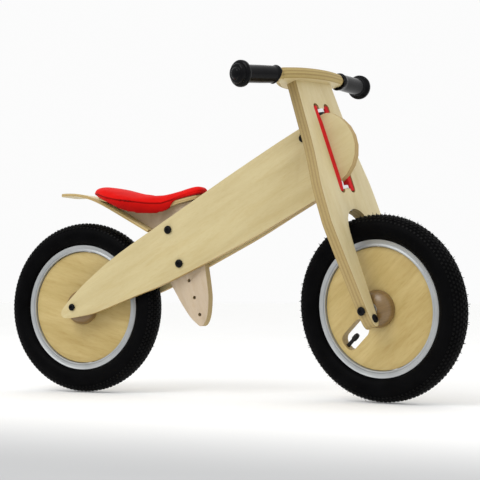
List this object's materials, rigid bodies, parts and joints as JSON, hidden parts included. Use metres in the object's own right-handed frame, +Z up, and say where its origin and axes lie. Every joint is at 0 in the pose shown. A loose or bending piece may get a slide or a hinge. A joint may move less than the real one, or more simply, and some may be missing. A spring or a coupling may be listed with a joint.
{
  "type": "balance bike",
  "caption": "Wooden children's balance bike: bowed ply side panels, one-piece fork board that steers between them, padded saddle, mudguard and solid disc wheels with air tyres.",
  "frame": {"origin": "on the ground, below the middle of the bike's length and width", "axes": "+X forward, +Y to the rider's left, +Z up"},
  "size_m": [0.8485, 0.3619, 0.5569],
  "materials": {
    "birch_ply": "clear satin lacquer over a birch face veneer, ply layers at the edges",
    "seat_ply": "clear satin lacquer over a slightly darker face veneer",
    "disc_ply": "satin lacquered ply with a warmer face veneer",
    "turned_beech": "glossy lacquered turned hardwood",
    "tyre_rubber": "matt moulded rubber with small knobs",
    "tube_rubber": "matt soft rubber",
    "rim_aluminium": "satin anodised",
    "grip_vinyl": "glossy soft vinyl",
    "saddle_cloth": "matt red woven cover over foam",
    "pad_foam": "matt red soft foam",
    "black_steel": "black domed fastener heads",
    "zinc_steel": "bright zinc plated",
    "black_plastic": "matt black moulding"
  },
  "bodies": {
    "frame": {"side_panel_left": "birch_ply", "side_panel_right": "birch_ply", "head_upper_bolt": "black_steel", "head_upper_nut": "black_steel", "head_lower_bolt": "black_steel", "head_lower_nut": "black_steel", "seat_plate": "seat_ply", "seat_spacer_left": "birch_ply", "seat_spacer_right": "birch_ply", "seat_upper_bolt": "black_steel", "seat_upper_nut": "black_steel", "seat_lower_bolt": "black_steel", "seat_lower_nut": "black_steel", "mudguard": "birch_ply", "mudguard_screw_1": "zinc_steel", "mudguard_screw_2": "zinc_steel", "saddle_shell": "birch_ply", "saddle_screw_1": "zinc_steel", "saddle_screw_2": "zinc_steel", "saddle_cover": "saddle_cloth", "rear_axle": "black_steel", "rear_axle_nut": "black_steel", "rear_spacer_left": "zinc_steel", "rear_spacer_right": "zinc_steel"},
    "fork": {"fork_board": "birch_ply", "handlebar": "birch_ply", "grip_left": "grip_vinyl", "grip_right": "grip_vinyl", "bumper_left": "pad_foam", "bumper_right": "pad_foam", "leg_screw_left": "black_steel", "leg_screw_right": "black_steel", "front_washer_left": "zinc_steel", "front_washer_right": "zinc_steel", "front_spacer_left": "black_plastic", "front_spacer_right": "black_plastic", "pivot_bolt_upper": "zinc_steel", "pivot_bolt_lower": "zinc_steel", "pivot_bearing_upper": "zinc_steel", "pivot_bearing_lower": "zinc_steel", "front_axle": "black_steel", "front_axle_nut": "black_steel"},
    "rear_wheel": {"rear_tyre": "tyre_rubber", "rear_inner_tube": "tube_rubber", "rear_rim": "rim_aluminium", "rear_wheel_disc": "disc_ply", "rear_valve_cap": "black_plastic", "rear_hub_left": "turned_beech", "rear_hub_right": "turned_beech", "rear_bearing_left": "zinc_steel", "rear_bearing_right": "zinc_steel"},
    "front_wheel": {"front_tyre": "tyre_rubber", "front_inner_tube": "tube_rubber", "front_rim": "rim_aluminium", "front_wheel_disc": "disc_ply", "front_valve_cap": "black_plastic", "front_hub_left": "turned_beech", "front_hub_right": "turned_beech", "front_bearing_left": "zinc_steel", "front_bearing_right": "zinc_steel"}
  },
  "joints": [
    {"name": "steering", "type": "hinge", "parent": "frame", "child": "fork", "pos_m": [0.2775, 0, 0.15], "axis": [-0.3173, 0, 0.9483], "range_deg": [-12, 38]},
    {"name": "front_wheel_spin", "type": "hinge", "parent": "fork", "child": "front_wheel", "pos_m": [0.2775, 0, 0.15], "axis": [0.2133, 0.9744, 0.0714], "continuous": true},
    {"name": "rear_wheel_spin", "type": "hinge", "parent": "frame", "child": "rear_wheel", "pos_m": [-0.2745, 0, 0.15], "axis": [0, 1, 0], "continuous": true}
  ]
}
